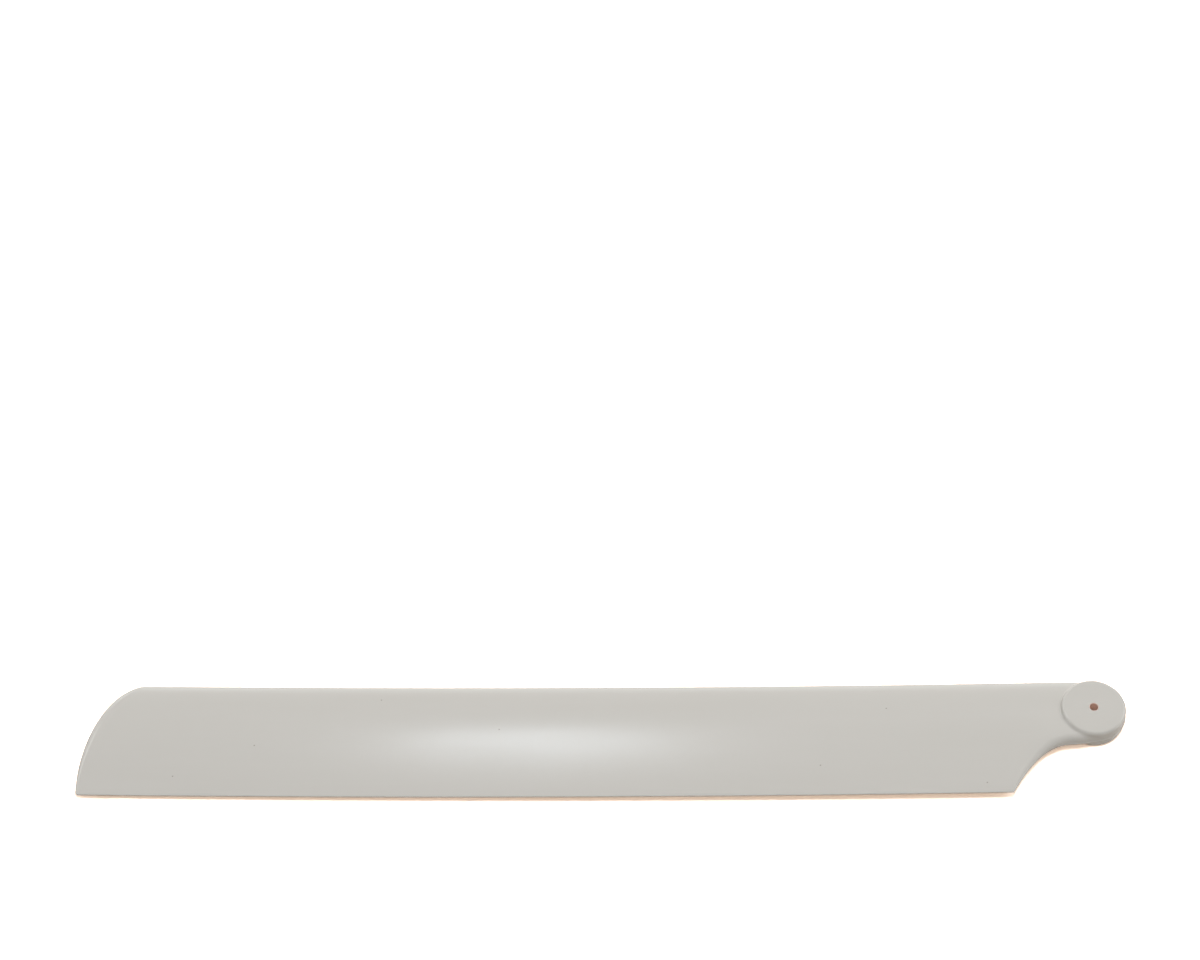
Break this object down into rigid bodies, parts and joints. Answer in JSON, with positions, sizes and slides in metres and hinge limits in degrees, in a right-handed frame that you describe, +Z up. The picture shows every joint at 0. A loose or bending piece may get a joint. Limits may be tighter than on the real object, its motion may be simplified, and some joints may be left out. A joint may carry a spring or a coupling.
{
  "type": "model helicopter rotor blade",
  "caption": "Moulded plastic main rotor blade for a small model helicopter: straight airfoil with a swept round tip, a notched root and a round boss bored for its bolt.",
  "frame": {"origin": "middle of the bolt bore, on the parting plane halfway through the boss", "axes": "+X out along the blade to the tip, +Y to the trailing edge, +Z up along the bolt bore"},
  "size_m": [0.16, 0.0202, 0.0036],
  "materials": {
    "blade_plastic": "satin, as moulded"
  },
  "bodies": {
    "root": {"rotor_blade": "blade_plastic"}
  },
  "joints": []
}
